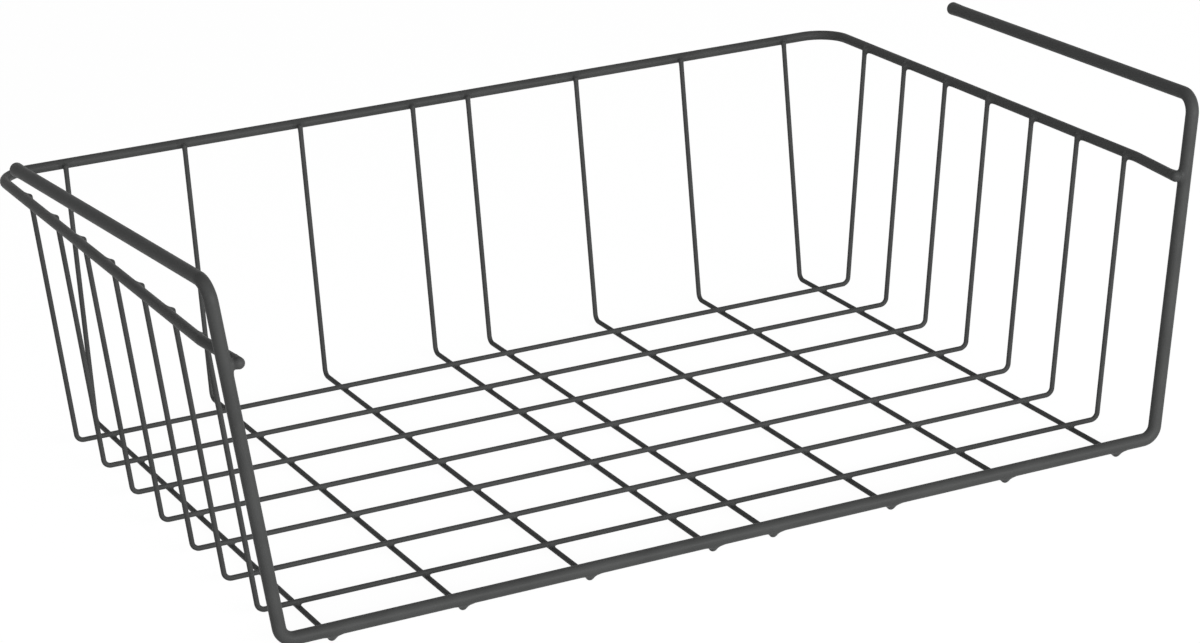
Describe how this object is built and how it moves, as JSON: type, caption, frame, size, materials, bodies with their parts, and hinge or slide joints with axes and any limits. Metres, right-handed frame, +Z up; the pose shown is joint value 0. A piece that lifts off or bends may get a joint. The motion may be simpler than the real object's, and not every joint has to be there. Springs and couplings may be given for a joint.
{
  "type": "under shelf basket",
  "caption": "Open-fronted wire basket that hangs under a shelf board: arms lie on the board, and a rim, cross wires and long wires form the basket below.",
  "frame": {"origin": "middle of the footprint, on the surface that the floor wires stand on", "axes": "+X to the right seen from the open front, +Y from the open front to the rear wall, +Z up; the open front faces -Y"},
  "size_m": [0.413, 0.2643, 0.1401],
  "materials": {
    "frame_coating": "satin dark grey coating on steel rod",
    "rim_coating": "satin dark grey coating on steel rod",
    "cross_wire_coating": "satin dark grey coating on steel wire",
    "long_wire_coating": "satin dark grey coating on steel wire"
  },
  "bodies": {
    "root": {"hanger_frame": "frame_coating", "rim": "rim_coating", "cross_wire_1": "cross_wire_coating", "cross_wire_2": "cross_wire_coating", "cross_wire_3": "cross_wire_coating", "cross_wire_4": "cross_wire_coating", "cross_wire_5": "cross_wire_coating", "cross_wire_6": "cross_wire_coating", "cross_wire_7": "cross_wire_coating", "long_wire_1": "long_wire_coating", "long_wire_2": "long_wire_coating", "long_wire_3": "long_wire_coating", "long_wire_4": "long_wire_coating", "long_wire_5": "long_wire_coating", "long_wire_6": "long_wire_coating", "long_wire_7": "long_wire_coating", "long_wire_8": "long_wire_coating"}
  },
  "joints": []
}
